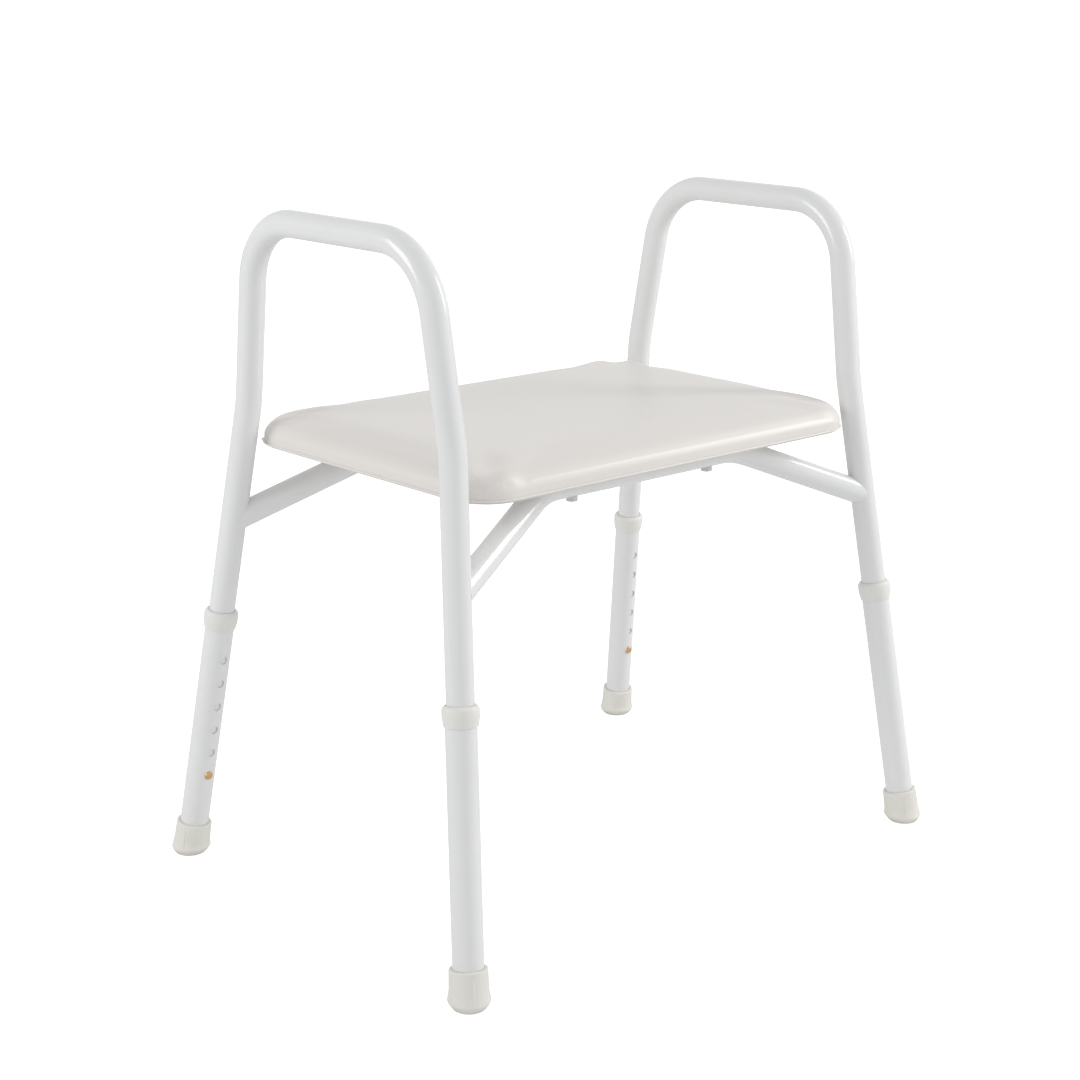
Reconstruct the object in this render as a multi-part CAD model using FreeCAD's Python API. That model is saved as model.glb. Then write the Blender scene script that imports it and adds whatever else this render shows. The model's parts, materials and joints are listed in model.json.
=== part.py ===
import FreeCAD
import Part

import math
import os

from FreeCAD import Vector

# A shower stool: two bent tube hoops are its legs and side rails, two crossbars
# welded between them carry a padded seat, and each leg ends in a lower tube
# that slides and locks with a snap button.
# Millimetres. The origin is on the floor, midway between the feet.
# +X runs from the left hoop to the right one, the front is -Y, +Z is up.

# ---- Tubes ----
tube_od = 25.4
tube_wall = 1.5
slide_clearance = 0.1       # radial, between a hoop's leg and what slides on it
lower_wall = 1.5

# ---- Stance: distances between leg centre lines at three heights ----
foot_span_x = 616.0         # on the floor
foot_span_y = 444.0
knee_z = 478.0              # where the legs turn upright
knee_span_x = 532.0
knee_span_y = 305.0
rail_z = 656.0              # centre line of the top rails
rail_span_x = 544.0
rail_span_y = 250.0         # between the corners that the rail bends round
knee_bend_r = 150.0
rail_bend_r = 68.0

# ---- Seat ----
seat_bottom_z = 432.0
seat_depth = 351.0
seat_thickness = 31.0
seat_corner_r = 43.0
seat_leg_gap = 3.5          # from a seat corner to the leg beside it
seat_top_edge_r = 13.0
seat_bottom_edge_r = 2.5
cover_thickness = 1.0
board_thickness = 12.0
seam_height = 3.6           # above the seat's underside
welt_height = 2.0
welt_stand_out = 1.4

# ---- Crossbars ----
weld_below_seat = 73.0      # from the seat's underside down to where a crossbar meets a leg
crossbar_y = 117.0          # distance of the level run from the middle
crossbar_corner_x = 130.0
crossbar_bend_r = 75.0
weld_size = 3.0
cope_end_gap = 3.0          # from the leg's centre line to the end of the crossbar

# ---- Seat fasteners ----
bolt_x = 92.0
bolt_d = 6.0
bolt_hole_clearance = 0.3   # radial
bolt_head_af = 10.0
bolt_head_h = 3.2
bolt_head_round = 1.0
saddle_od = 11.0
saddle_thickness = 0.9
tee_barrel_od = 8.5
tee_barrel_length = 9.0
tee_flange_od = 18.0
tee_flange_thickness = 1.2
thread_clearance = 0.05     # radial, bolt in tee nut
bolt_tip_inset = 1.0        # below the top of the tee nut's barrel

# ---- Height adjustment, measured along the leg from the floor ----
button_at = 91.5
hole_pitch = 25.4
hole_count = 6
hole_d = 8.2
hoop_end_at = 46.0
collar_centre_at = 259.5

# ---- Snap button and its spring ----
button_hole_clearance = 0.3  # radial
button_stand_out = 2.2
button_dome = 1.3
button_flange_extra = 1.0   # radial
button_flange_thickness = 1.0
button_wall_gap = 0.3
spring_thickness = 0.6
spring_width = 7.0
spring_gap = 0.2            # from the button's flange, and from the tube's far wall
spring_pad = 7.0            # half length of each of its flat ends
spring_drop = 34.0          # from the button down to its bend
spring_bend_r = 3.0

# ---- Collar ----
collar_wall = 3.1           # at its widest, outside the lower tube
collar_height = 19.0
collar_lip = 7.5            # part of its height that stands above the lower tube
collar_widest_at = 11.5     # above its lower edge
collar_shoulder_at = 13.5
collar_low_wall = 1.4
collar_mouth_wall = 1.7     # outside the hoop's leg, at its top edge

# ---- Foot ----
foot_wall = 3.3             # at its top rim, outside the lower tube
foot_taper = 0.5            # radial growth down to the flare
foot_height = 35.0
foot_rim_round = 1.6
flare_stand_out = 5.4       # outside the lower tube, at its widest
flare_widest_at = 6.5       # above the floor
flare_top_at = 14.5
contact_inset = 4.2         # radial, from the flare's widest to the face on the floor
tube_above_floor = 9.5
washer_thickness = 1.5
washer_inset = 0.4

LEGS = {
    "front_left": (-1, -1),
    "front_right": (1, -1),
    "rear_left": (-1, 1),
    "rear_right": (1, 1),
}

# ---- Sizes that follow from those above ----
tube_r = tube_od / 2
bore_r = tube_r - tube_wall
lower_bore_r = tube_r + slide_clearance
lower_r = lower_bore_r + lower_wall
seat_top_z = seat_bottom_z + seat_thickness
weld_z = seat_bottom_z - weld_below_seat
board_bottom_z = seat_bottom_z + cover_thickness
board_top_z = board_bottom_z + board_thickness
seam_z = seat_bottom_z + seam_height
crossbar_z = seat_bottom_z - tube_r
crossbar_under_z = crossbar_z - tube_r
button_r = hole_d / 2 - button_hole_clearance
bolt_hole_r = bolt_d / 2 + bolt_hole_clearance


def unit(v):
    return v * (1 / v.Length)


def foot_point(sx, sy):
    return Vector(sx * foot_span_x / 2, sy * foot_span_y / 2, 0)


def knee_point(sx, sy):
    return Vector(sx * knee_span_x / 2, sy * knee_span_y / 2, knee_z)


def rail_point(sx, sy):
    return Vector(sx * rail_span_x / 2, sy * rail_span_y / 2, rail_z)


def leg_up(sx, sy):
    return unit(knee_point(sx, sy) - foot_point(sx, sy))


def leg_inward(sx, sy):
    # square to the leg, towards the other leg of its hoop
    up = leg_up(sx, sy)
    across = Vector(0, -sy, 0)
    return unit(across - up * across.dot(up))


def along_leg(sx, sy, distance):
    return foot_point(sx, sy) + leg_up(sx, sy) * distance


def leg_at_height(sx, sy, z):
    low, knee, rail = foot_point(sx, sy), knee_point(sx, sy), rail_point(sx, sy)
    if z <= knee_z:
        return low + (knee - low) * (z / knee_z)
    return knee + (rail - knee) * ((z - knee_z) / (rail_z - knee_z))


def leg_slant(sx, sy):
    # how much longer the leg is than the height it spans
    return 1 / leg_up(sx, sy).z


def rounded_path(points, radii):
    # straight runs between the points, with a tangent arc at each inner point
    edges = []
    start = points[0]
    for before, corner, after, radius in zip(points, points[1:], points[2:], radii):
        back = unit(before - corner)
        ahead = unit(after - corner)
        half = back.getAngle(ahead) / 2
        reach = radius / math.tan(half)
        middle = unit(back + ahead)
        arc_start = corner + back * reach
        arc_end = corner + ahead * reach
        arc_mid = corner + middle * (radius / math.sin(half) - radius)
        edges.append(Part.LineSegment(start, arc_start).toShape())
        edges.append(Part.Arc(arc_start, arc_mid, arc_end).toShape())
        start = arc_end
    edges.append(Part.LineSegment(start, points[-1]).toShape())
    return Part.Wire(edges)


def sweep_disc(points, radii, radius):
    path = rounded_path(points, radii)
    circle = Part.Circle(points[0], unit(points[1] - points[0]), radius).toShape()
    return path.makePipeShell([Part.Wire([circle])], True, False)


def cylinder(radius, start, end):
    run = end - start
    return Part.makeCylinder(radius, run.Length, start, run)


def turned(profile, base, axis):
    # a solid of revolution about axis from base; profile points are (radius, height)
    points = [Vector(r, 0, h) for r, h in profile]
    face = Part.Face(Part.makePolygon(points + points[:1]))
    solid = face.revolve(Vector(0, 0, 0), Vector(0, 0, 1), 360)
    solid.Placement = FreeCAD.Placement(base, FreeCAD.Rotation(Vector(0, 0, 1), axis))
    return solid


def round_circles(solid, radius, wanted):
    edges = [e for e in solid.Edges if isinstance(e.Curve, Part.Circle) and wanted(e)]
    return solid.makeFillet(radius, edges)


def save(name, *solids):
    shape = solids[0] if len(solids) == 1 else Part.makeCompound(list(solids))
    shape = shape.removeSplitter()
    if not shape.isValid():
        raise RuntimeError(name + " is not a valid solid")
    shape.exportStep("parts/" + name + ".step")
    print(name, len(shape.Solids), "solid(s)", round(shape.Volume), "mm3")


# ---- Hoops ----

def hoop_points(sx):
    return [
        along_leg(sx, -1, hoop_end_at),
        knee_point(sx, -1),
        rail_point(sx, -1),
        rail_point(sx, 1),
        knee_point(sx, 1),
        along_leg(sx, 1, hoop_end_at),
    ]


HOOP_BENDS = [knee_bend_r, rail_bend_r, rail_bend_r, knee_bend_r]


def hole_through_wall(sx, sy, distance):
    centre = along_leg(sx, sy, distance)
    return cylinder(hole_d / 2, centre, centre + leg_inward(sx, sy) * lower_r * 1.5)


def make_hoop(sx):
    hoop = sweep_disc(hoop_points(sx), HOOP_BENDS, tube_r)
    hoop = hoop.cut(sweep_disc(hoop_points(sx), HOOP_BENDS, bore_r))
    for sy in (-1, 1):
        hoop = hoop.cut(hole_through_wall(sx, sy, button_at))
    return hoop


# ---- Crossbars and their welds ----

def crossbar_corner(sx, sy):
    return Vector(sx * crossbar_corner_x, sy * crossbar_y, crossbar_z)


def crossbar_end(sx, sy):
    joint = leg_at_height(sx, sy, weld_z)
    return joint + unit(crossbar_corner(sx, sy) - joint) * cope_end_gap


def crossbar_points(sy):
    return [
        crossbar_end(-1, sy),
        crossbar_corner(-1, sy),
        crossbar_corner(1, sy),
        crossbar_end(1, sy),
    ]


def leg_stretch(sx, sy, radius):
    # the stretch of a leg on both sides of its weld, as a solid rod
    joint = leg_at_height(sx, sy, weld_z)
    up = leg_up(sx, sy) * tube_od * 2
    return cylinder(radius, joint - up, joint + up)


def make_crossbar(sy):
    # its ends are coped to sit on the legs
    bends = [crossbar_bend_r, crossbar_bend_r]
    bar = sweep_disc(crossbar_points(sy), bends, tube_r)
    bar = bar.cut(sweep_disc(crossbar_points(sy), bends, bore_r))
    for sx in (-1, 1):
        bar = bar.cut(leg_stretch(sx, sy, tube_r))
    for x in (-bolt_x, bolt_x):
        low = Vector(x, sy * crossbar_y, crossbar_under_z - tube_r)
        bar = bar.cut(cylinder(bolt_hole_r, low, low + Vector(0, 0, tube_od * 2)))
    return max(bar.Solids, key=lambda s: s.Volume)


def make_weld(sx, sy):
    # the fillet of metal in the corner between a crossbar's end and its leg
    joint = leg_at_height(sx, sy, weld_z)
    bar_end = joint + unit(crossbar_corner(sx, sy) - joint) * tube_od * 2
    around_bar = cylinder(tube_r + weld_size, joint, bar_end)
    bead = around_bar.common(leg_stretch(sx, sy, tube_r + weld_size))
    bead = bead.cut(cylinder(tube_r, joint, bar_end))
    return bead.cut(leg_stretch(sx, sy, tube_r))


# ---- Seat ----

def seat_half_width():
    # the sides line up with the legs' inner faces, or stay further in where a
    # corner would come nearer to its leg than the gap
    leg = min(
        (leg_at_height(1, 1, z) for z in (seat_bottom_z, seat_top_z)),
        key=lambda p: p.x,
    )
    leg_r = tube_r * leg_slant(1, 1)
    past_corner = max(0, leg.y - (seat_depth / 2 - seat_corner_r))
    reach = leg_r + seat_leg_gap + seat_corner_r
    across = math.sqrt(max(0, reach ** 2 - past_corner ** 2))
    return min(leg.x - across + seat_corner_r, leg.x - leg_r)


def rounded_slab(inset, z0, z1):
    half_x = seat_half_width() - inset
    half_y = seat_depth / 2 - inset
    corner_r = seat_corner_r - inset
    slab = Part.makeBox(
        2 * half_x, 2 * half_y, z1 - z0, Vector(-half_x, -half_y, z0)
    )
    upright = [e for e in slab.Edges if abs(e.tangentAt(e.FirstParameter).z) > 0.5]
    return slab.makeFillet(corner_r, upright)


def cushion_block(inset):
    z0 = seat_bottom_z + inset
    z1 = seat_top_z - inset
    block = rounded_slab(inset, z0, z1)
    top = [e for e in block.Edges if e.BoundBox.ZMin > z1 - 0.01]
    block = block.makeFillet(seat_top_edge_r - inset, top)
    bottom = [e for e in block.Edges if e.BoundBox.ZMax < z0 + 0.01]
    return block.makeFillet(seat_bottom_edge_r - inset, bottom)


def layer(shape, z0, z1):
    reach = 2 * (foot_span_x + foot_span_y)
    box = Part.makeBox(reach, reach, z1 - z0, Vector(-reach / 2, -reach / 2, z0))
    return shape.common(box)


def bolt_places():
    return [(x, sy * crossbar_y) for sy in (-1, 1) for x in (-bolt_x, bolt_x)]


def upright(radius, x, y, z0, z1):
    return Part.makeCylinder(radius, z1 - z0, Vector(x, y, z0))


def make_welt():
    z0 = seam_z - welt_height / 2
    ring = rounded_slab(-welt_stand_out, z0, z0 + welt_height)
    ring = ring.makeFillet(
        min(welt_stand_out, welt_height / 2) * 0.6,
        [e for e in ring.Edges if e.BoundBox.ZLength < 0.01],
    )
    return ring.cut(rounded_slab(0, z0 - 1, z0 + welt_height + 1))


def make_seat():
    outer = cushion_block(0)
    inner = cushion_block(cover_thickness)
    skin = outer.cut(inner)
    board = layer(inner, board_bottom_z, board_top_z)
    foam = layer(inner, board_top_z, seat_top_z)
    base_cover = layer(skin, seat_bottom_z, seam_z)
    barrel_z = board_top_z - tee_barrel_length
    for x, y in bolt_places():
        way_in = upright(bolt_hole_r, x, y, seat_bottom_z - 1, barrel_z + 1)
        board = board.cut(way_in)
        base_cover = base_cover.cut(way_in)
        board = board.cut(upright(tee_barrel_od / 2, x, y, barrel_z, board_top_z))
        flange_top = board_top_z + tee_flange_thickness
        foam = foam.cut(upright(tee_flange_od / 2, x, y, board_top_z, flange_top))
    save("seat_board", board)
    save("seat_foam", foam)
    save("seat_cover", layer(skin, seam_z, seat_top_z))
    save("seat_base_cover", base_cover)
    save("seat_welt", make_welt())


# ---- Seat fasteners ----

def saddle_bottom_z():
    return crossbar_under_z - saddle_thickness


def make_bolt(x, y):
    seat_z = saddle_bottom_z()
    head_z = seat_z - bolt_head_h
    corner = bolt_head_af / 2 / math.cos(math.pi / 6)
    turns = [math.radians(60 * i) for i in range(7)]
    outline = [
        Vector(x + corner * math.cos(t), y + corner * math.sin(t), head_z)
        for t in turns
    ]
    head = Part.Face(Part.makePolygon(outline)).extrude(Vector(0, 0, bolt_head_h))
    dome = upright(corner, x, y, head_z, seat_z)
    dome = round_circles(dome, bolt_head_round, lambda e: e.BoundBox.ZMax < head_z + 0.01)
    tip_z = board_top_z - bolt_tip_inset
    return head.common(dome).fuse(upright(bolt_d / 2, x, y, seat_z, tip_z))


def make_saddle(x, y):
    washer = upright(saddle_od / 2, x, y, saddle_bottom_z(), crossbar_z)
    length = Vector(saddle_od, 0, 0)
    centre = Vector(x, y, crossbar_z)
    washer = washer.cut(cylinder(tube_r, centre - length, centre + length))
    hole = upright(bolt_hole_r, x, y, saddle_bottom_z() - 1, crossbar_z)
    washer = washer.cut(hole)
    return min(washer.Solids, key=lambda s: s.BoundBox.ZMin)


def make_tee_nut(x, y):
    barrel_z = board_top_z - tee_barrel_length
    flange_top = board_top_z + tee_flange_thickness
    nut = upright(tee_barrel_od / 2, x, y, barrel_z, board_top_z)
    nut = nut.fuse(upright(tee_flange_od / 2, x, y, board_top_z, flange_top))
    thread = upright(bolt_d / 2 + thread_clearance, x, y, barrel_z - 1, flange_top + 1)
    return nut.cut(thread)


# ---- Leg extensions ----

def make_lower_tube(sx, sy):
    low = along_leg(sx, sy, tube_above_floor)
    high = along_leg(sx, sy, collar_centre_at + collar_height / 2 - collar_lip)
    tube = cylinder(lower_r, low, high).cut(cylinder(lower_bore_r, low, high))
    for i in range(hole_count):
        tube = tube.cut(hole_through_wall(sx, sy, button_at + i * hole_pitch))
    return tube


def make_collar(sx, sy):
    outer = lower_r + collar_wall
    return turned(
        [
            (lower_r, 0),
            (lower_r + collar_low_wall, 0),
            (outer, collar_widest_at),
            (outer, collar_shoulder_at),
            (lower_bore_r + collar_mouth_wall, collar_height),
            (lower_bore_r, collar_height),
            (lower_bore_r, collar_height - collar_lip),
            (lower_r, collar_height - collar_lip),
        ],
        along_leg(sx, sy, collar_centre_at - collar_height / 2),
        leg_up(sx, sy),
    )


def ring_wire(centre, axis, radius):
    return Part.Wire([Part.Circle(centre, axis, radius).toShape()])


def make_foot(sx, sy):
    # a sleeve along the leg on a flare that stands level on the floor
    up = leg_up(sx, sy)
    level = Vector(0, 0, 1)
    outer = lower_r + foot_wall
    wide = lower_r + flare_stand_out
    widest = along_leg(sx, sy, flare_widest_at * leg_slant(sx, sy))
    flare = Part.makeLoft(
        [
            ring_wire(foot_point(sx, sy), level, wide - contact_inset),
            ring_wire(widest, level, wide),
            ring_wire(along_leg(sx, sy, flare_top_at), up, outer + foot_taper),
        ],
        True,
        True,
    )
    sleeve_at = (flare_widest_at + flare_top_at) / 2
    sleeve = turned(
        [
            (0, 0),
            (outer + foot_taper - 0.1, 0),
            (outer + foot_taper, flare_top_at - sleeve_at),
            (outer, foot_height - sleeve_at),
            (0, foot_height - sleeve_at),
        ],
        along_leg(sx, sy, sleeve_at),
        up,
    )
    top = along_leg(sx, sy, foot_height)
    sleeve = round_circles(
        sleeve, foot_rim_round, lambda e: (e.Curve.Center - top).Length < 0.1
    )
    pocket_at = tube_above_floor - washer_thickness
    bore = cylinder(lower_r, along_leg(sx, sy, tube_above_floor), top + up)
    pocket = cylinder(
        lower_r - washer_inset,
        along_leg(sx, sy, pocket_at),
        along_leg(sx, sy, tube_above_floor),
    )
    return flare.fuse(sleeve).cut(bore).cut(pocket)


def make_foot_washer(sx, sy):
    return cylinder(
        lower_r - washer_inset,
        along_leg(sx, sy, tube_above_floor - washer_thickness),
        along_leg(sx, sy, tube_above_floor),
    )


# ---- Snap buttons and springs ----

def button_flange():
    # radius, and distance of its outer face from the leg's centre line
    radius = button_r + button_flange_extra
    return radius, math.sqrt(bore_r ** 2 - radius ** 2) - button_wall_gap


def make_button(sx, sy):
    flange_r, flange_top = button_flange()
    tip = lower_r + button_stand_out
    flange_low = flange_top - button_flange_thickness
    button = turned(
        [
            (0, flange_low),
            (flange_r, flange_low),
            (flange_r, flange_top),
            (button_r, flange_top),
            (button_r, tip),
            (0, tip),
        ],
        along_leg(sx, sy, button_at),
        leg_inward(sx, sy),
    )
    crown = along_leg(sx, sy, button_at) + leg_inward(sx, sy) * tip
    return round_circles(
        button, button_dome, lambda e: (e.Curve.Center - crown).Length < 0.1
    )


def make_spring(sx, sy):
    # a strip bent into a V: one end under the button, the other on the far wall
    up = leg_up(sx, sy)
    inward = leg_inward(sx, sy)
    centre = along_leg(sx, sy, button_at)
    half_t = spring_thickness / 2
    flange_low = button_flange()[1] - button_flange_thickness
    near = flange_low - spring_gap - half_t
    corner_reach = math.sqrt(bore_r ** 2 - (spring_width / 2) ** 2)
    far = -(corner_reach - spring_gap - half_t)

    def at(across, height):
        return centre + inward * across + up * height

    points = [
        at(near, spring_pad),
        at(near, -spring_pad),
        at((near + far) / 2, -spring_drop),
        at(far, -spring_pad),
        at(far, spring_pad),
    ]
    path = rounded_path(points, [spring_bend_r] * 3)
    sideways = inward.cross(up) * (spring_width / 2)
    across = inward * half_t
    corners = [
        points[0] + across + sideways,
        points[0] - across + sideways,
        points[0] - across - sideways,
        points[0] + across - sideways,
    ]
    section = Part.makePolygon(corners + corners[:1])
    return path.makePipeShell([section], True, False)


# ---- Build every piece ----

os.makedirs("parts", exist_ok=True)

save("left_hoop", make_hoop(-1))
save("right_hoop", make_hoop(1))
save("front_crossbar", make_crossbar(-1))
save("rear_crossbar", make_crossbar(1))
save("weld_beads", *[make_weld(sx, sy) for sx, sy in LEGS.values()])

make_seat()
save("seat_bolts", *[make_bolt(x, y) for x, y in bolt_places()])
save("saddle_washers", *[make_saddle(x, y) for x, y in bolt_places()])
save("tee_nuts", *[make_tee_nut(x, y) for x, y in bolt_places()])

for corner_name, (sx, sy) in LEGS.items():
    save(corner_name + "_lower_tube", make_lower_tube(sx, sy))
    save(corner_name + "_collar", make_collar(sx, sy))
    save(corner_name + "_rubber_foot", make_foot(sx, sy))
    save(corner_name + "_foot_washer", make_foot_washer(sx, sy))
    save(corner_name + "_snap_button", make_button(sx, sy))
    save(corner_name + "_snap_spring", make_spring(sx, sy))

print("seat width", round(2 * seat_half_width(), 1))
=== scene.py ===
import json
import math

import bmesh
import bpy
from mathutils import Matrix, Vector, geometry, noise


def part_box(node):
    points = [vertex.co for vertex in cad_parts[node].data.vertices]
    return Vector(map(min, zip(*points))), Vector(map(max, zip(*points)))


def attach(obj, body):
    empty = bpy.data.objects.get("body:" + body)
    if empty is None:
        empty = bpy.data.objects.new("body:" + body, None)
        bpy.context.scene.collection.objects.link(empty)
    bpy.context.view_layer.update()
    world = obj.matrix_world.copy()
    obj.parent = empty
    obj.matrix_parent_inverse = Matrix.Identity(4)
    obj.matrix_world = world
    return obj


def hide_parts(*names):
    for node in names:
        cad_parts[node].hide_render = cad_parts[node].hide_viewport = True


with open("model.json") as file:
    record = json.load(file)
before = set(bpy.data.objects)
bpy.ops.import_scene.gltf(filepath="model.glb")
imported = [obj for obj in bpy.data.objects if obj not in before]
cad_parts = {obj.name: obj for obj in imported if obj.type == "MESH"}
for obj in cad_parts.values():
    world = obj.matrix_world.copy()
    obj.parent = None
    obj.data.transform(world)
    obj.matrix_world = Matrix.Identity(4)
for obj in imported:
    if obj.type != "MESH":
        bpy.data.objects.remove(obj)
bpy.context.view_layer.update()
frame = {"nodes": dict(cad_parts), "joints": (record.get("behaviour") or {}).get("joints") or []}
nodes = frame["nodes"]
mm = 0.001
corners = ("front_left", "front_right", "rear_left", "rear_right")
print("frame loaded:", len(nodes), "nodes")


# Each leg's own directions, from its two joints: up the leg, and in towards the
# other leg of the same hoop, which is the way its snap button faces.
def readLeg(corner):
    joints = {j["name"]: j for j in frame["joints"]}
    up = -Vector(joints[corner + "_leg_slide"]["axis"]).normalized()
    inward = -Vector(joints[corner + "_button_press"]["axis"]).normalized()
    low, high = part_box(corner + "_foot_washer")
    middle = (low + high) / 2
    foot = middle - up * (middle.z / up.z)  # where the leg's centre line meets the floor
    return {"foot": foot, "up": up, "inward": inward, "side": up.cross(inward)}


legs = {corner: readLeg(corner) for corner in corners}


def legReach(corner, piece):
    # lowest and highest point along the leg, smallest and largest radius
    leg = legs[corner]
    heights, radii = [], []
    for vertex in nodes[corner + "_" + piece].data.vertices:
        away = vertex.co - leg["foot"]
        height = away.dot(leg["up"])
        heights.append(height)
        radii.append((away - leg["up"] * height).length)
    return min(heights), max(heights), min(radii), max(radii)


def addNode(tree, kind, inputs=None, **settings):
    node = tree.nodes.new(kind)
    for key, value in settings.items():
        setattr(node, key, value)
    for key, value in (inputs or {}).items():
        node.inputs[key].default_value = value
    return node


def newGroup(name, inputs, outputs):
    group = bpy.data.node_groups.new(name, "ShaderNodeTree")
    for label, value in inputs:
        socket = group.interface.new_socket(
            name=label, in_out="INPUT", socket_type="NodeSocketFloat"
        )
        socket.default_value = value
    for label in outputs:
        group.interface.new_socket(
            name=label, in_out="OUTPUT", socket_type="NodeSocketFloat"
        )
    entry = group.nodes.new("NodeGroupInput")
    leave = group.nodes.new("NodeGroupOutput")
    return group, entry.outputs, leave.inputs


def math2(tree, operation, a, b=0.5, clamp=False):
    node = tree.nodes.new("ShaderNodeMath")
    node.operation = operation
    node.use_clamp = clamp
    for socket, value in zip(node.inputs, (a, b)):
        if isinstance(value, (int, float)):
            socket.default_value = value
        else:
            tree.links.new(value, socket)
    return node.outputs[0]


def objectPoint(tree):
    return tree.nodes.new("ShaderNodeTexCoord").outputs["Object"]


def noiseAt(tree, point, scale, detail=2.0, rough=0.5, stretch=None):
    if stretch:
        mapping = addNode(tree, "ShaderNodeMapping")
        mapping.inputs["Scale"].default_value = stretch
        tree.links.new(point, mapping.inputs["Vector"])
        point = mapping.outputs["Vector"]
    node = addNode(tree, "ShaderNodeTexNoise", {"Detail": detail, "Roughness": rough})
    tree.links.new(point, node.inputs["Vector"])
    if isinstance(scale, (int, float)):
        node.inputs["Scale"].default_value = scale
    else:
        tree.links.new(scale, node.inputs["Scale"])
    return node.outputs["Fac"]


# Sprayed or moulded skin: a fine ripple for bump, a slow cloud for colour and gloss.
def makeSkinGroup():
    group, given, out = newGroup(
        "skinRipple", [("Ripple Scale", 900), ("Cloud Scale", 14)], ["Ripple", "Cloud"]
    )
    point = objectPoint(group)
    fine = noiseAt(group, point, given["Ripple Scale"], 3.0, 0.55)
    group.links.new(fine, out["Ripple"])
    group.links.new(noiseAt(group, point, given["Cloud Scale"], 4.0, 0.6), out["Cloud"])
    return group


# Dust and scuffs that gather low down, near the floor.
def makeDustGroup():
    group, given, out = newGroup(
        "floorDust", [("Reach", 0.06), ("Speck Scale", 420), ("Amount", 0.5)], ["Mask"]
    )
    point = objectPoint(group)
    split = addNode(group, "ShaderNodeSeparateXYZ")
    group.links.new(point, split.inputs[0])
    low = math2(group, "DIVIDE", split.outputs["Z"], given["Reach"])
    low = math2(group, "SUBTRACT", 1.0, low, clamp=True)
    specks = noiseAt(group, point, given["Speck Scale"], 5.0, 0.7)
    specks = math2(group, "SUBTRACT", specks, 0.45, clamp=True)
    specks = math2(group, "MULTIPLY", specks, 4.0, clamp=True)
    mask = math2(group, "MULTIPLY", low, specks)
    group.links.new(math2(group, "MULTIPLY", mask, given["Amount"]), out["Mask"])
    return group


# Pebbled grain of embossed vinyl.
def makeGrainGroup():
    group, given, out = newGroup("vinylGrain", [("Grain Scale", 1500)], ["Height"])
    point = objectPoint(group)
    cells = addNode(group, "ShaderNodeTexVoronoi", feature="SMOOTH_F1")
    group.links.new(point, cells.inputs["Vector"])
    group.links.new(given["Grain Scale"], cells.inputs["Scale"])
    crease = noiseAt(group, point, 260.0, 4.0, 0.6)
    height = math2(group, "MULTIPLY", crease, 0.6)
    group.links.new(math2(group, "ADD", cells.outputs["Distance"], height), out["Height"])
    return group


skinGroup = makeSkinGroup()
dustGroup = makeDustGroup()
grainGroup = makeGrainGroup()


def useGroup(tree, group, **values):
    node = tree.nodes.new("ShaderNodeGroup")
    node.node_tree = group
    for key, value in values.items():
        node.inputs[key].default_value = value
    return node.outputs


def newMaterial(name, **constants):
    material = bpy.data.materials.new(name)
    material.use_nodes = True
    tree = material.node_tree
    shader = tree.nodes["Principled BSDF"]
    for key, value in constants.items():
        shader.inputs[key.replace("_", " ")].default_value = value
    return material, tree, shader


def mixColours(tree, factor, first, second):
    # a ramp between two colours
    ramp = tree.nodes.new("ShaderNodeValToRGB")
    ramp.color_ramp.elements[0].color = (*first, 1)
    ramp.color_ramp.elements[1].color = (*second, 1)
    tree.links.new(factor, ramp.inputs["Fac"])
    return ramp.outputs["Color"]


def blendColour(tree, factor, under, over):
    mix = tree.nodes.new("ShaderNodeMix")
    mix.data_type = "RGBA"
    tree.links.new(factor, mix.inputs["Factor"])
    tree.links.new(under, mix.inputs["A"])
    if isinstance(over, tuple):
        mix.inputs["B"].default_value = (*over, 1)
    else:
        tree.links.new(over, mix.inputs["B"])
    return mix.outputs["Result"]


def setRange(tree, value, low, high):
    node = tree.nodes.new("ShaderNodeMapRange")
    node.inputs["To Min"].default_value = low
    node.inputs["To Max"].default_value = high
    tree.links.new(value, node.inputs["Value"])
    return node.outputs["Result"]


def addBump(tree, shader, height, distance, strength=1.0):
    bump = addNode(tree, "ShaderNodeBump", {"Distance": distance, "Strength": strength})
    tree.links.new(height, bump.inputs["Height"])
    tree.links.new(bump.outputs["Normal"], shader.inputs["Normal"])


powderCoat = {
    "colour": (0.79, 0.795, 0.795),
    "colourLow": (0.755, 0.76, 0.76),
    "roughness": (0.2, 0.28),
    "peelScale": 620,
    "peelDepth": 0.03 * mm,
}


def makePowderCoat(name, look, dusty=False):
    material, tree, shader = newMaterial(
        name, Coat_Weight=0.25, Coat_Roughness=0.08, Specular_IOR_Level=0.5
    )
    skin = useGroup(tree, skinGroup, **{"Ripple Scale": look["peelScale"], "Cloud Scale": 9})
    colour = mixColours(tree, skin["Cloud"], look["colourLow"], look["colour"])
    if dusty:
        dust = useGroup(tree, dustGroup, **{"Reach": 0.07, "Amount": 0.3})
        colour = blendColour(tree, dust["Mask"], colour, (0.5, 0.48, 0.45))
    tree.links.new(colour, shader.inputs["Base Color"])
    tree.links.new(
        setRange(tree, skin["Cloud"], *look["roughness"]), shader.inputs["Roughness"]
    )
    addBump(tree, shader, skin["Ripple"], look["peelDepth"])
    return material


seatVinyl = {
    "colour": (0.76, 0.735, 0.705),
    "colourLow": (0.735, 0.71, 0.68),
    "roughness": (0.3, 0.4),
    "grainScale": 1300,
    "grainDepth": 0.03 * mm,
}


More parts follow.
